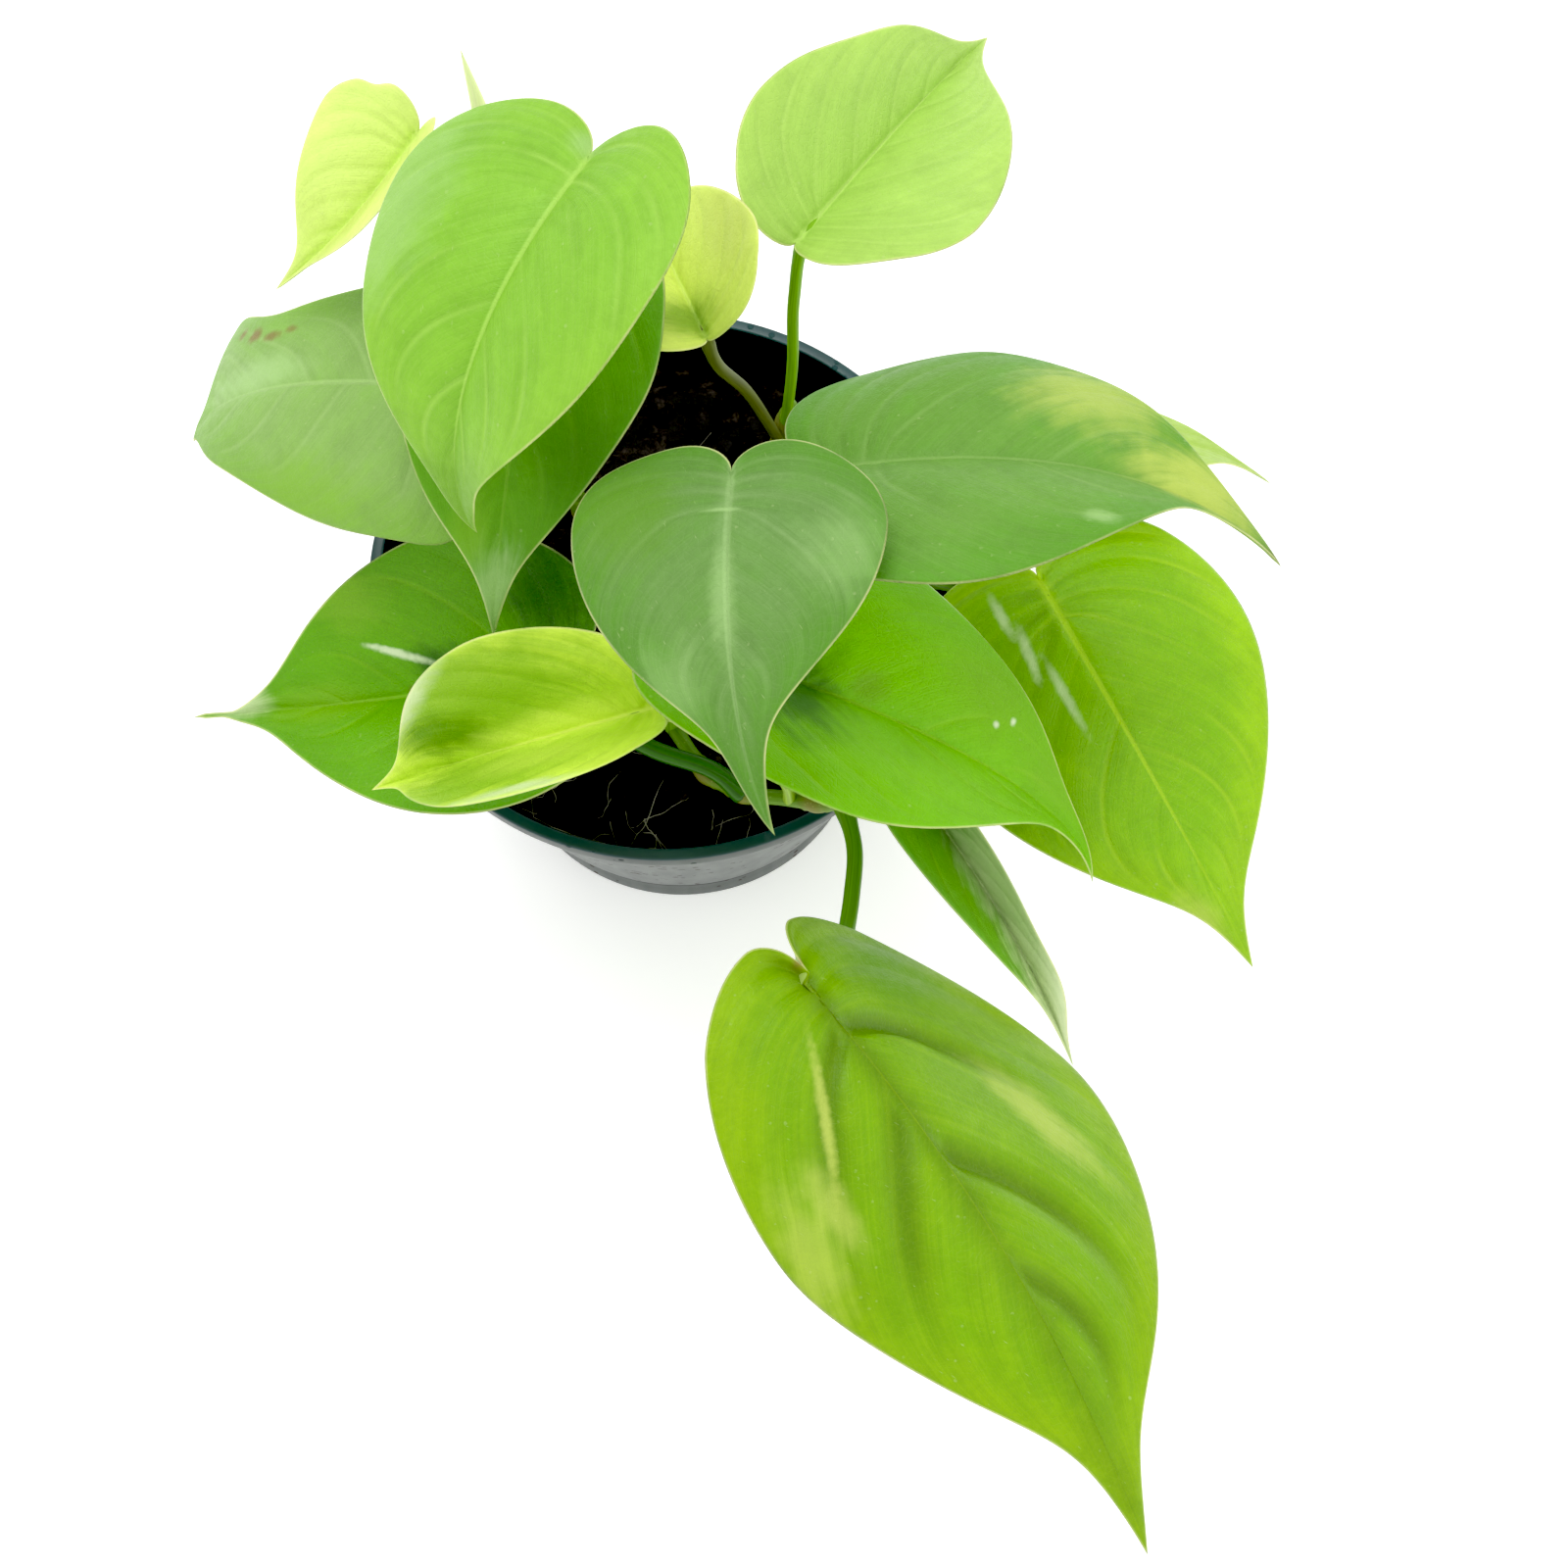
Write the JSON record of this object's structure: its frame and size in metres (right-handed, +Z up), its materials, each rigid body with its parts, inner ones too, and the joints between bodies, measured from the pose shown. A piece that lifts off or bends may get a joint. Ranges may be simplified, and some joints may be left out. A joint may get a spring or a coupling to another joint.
{
  "type": "potted climbing philodendron",
  "caption": "Young climbing philodendron with glossy heart-shaped leaves on slender arching stalks, rising from dark peat in a round tapered nursery pot.",
  "frame": {"origin": "centre of the pot's flat underside", "axes": "+Z up, -Y towards the plant's front, where the largest leaf hangs over the rim, +X to the right seen from the front"},
  "size_m": [0.2083, 0.2673, 0.2207],
  "materials": {
    "pot_plastic": "thin moulded plastic, dark green, faintly glossy",
    "peat": "loose, dark and damp",
    "stem": "smooth living stem, olive green",
    "leaf_deep": "glossy living leaf, deep green",
    "leaf_mid": "glossy living leaf, bright green",
    "leaf_dusky": "satin living leaf, grey green",
    "leaf_young": "satin young leaf, yellow green"
  },
  "bodies": {
    "root": {"pot": "pot_plastic", "soil": "peat", "vine_back_left": "stem", "vine_back": "stem", "vine_front": "stem", "vine_right": "stem", "leaf_top_left": "leaf_mid", "leaf_under_left": "leaf_deep", "leaf_left": "leaf_dusky", "leaf_young_left": "leaf_young", "leaf_young_back": "leaf_young", "leaf_back": "leaf_mid", "leaf_right": "leaf_dusky", "leaf_centre": "leaf_dusky", "leaf_right_low": "leaf_deep", "leaf_right_front": "leaf_mid", "leaf_folded": "leaf_deep", "leaf_front": "leaf_mid", "leaf_left_front": "leaf_deep", "leaf_cupped": "leaf_young", "leaf_young_right": "leaf_young", "rolled_leaf": "leaf_young"}
  },
  "joints": []
}
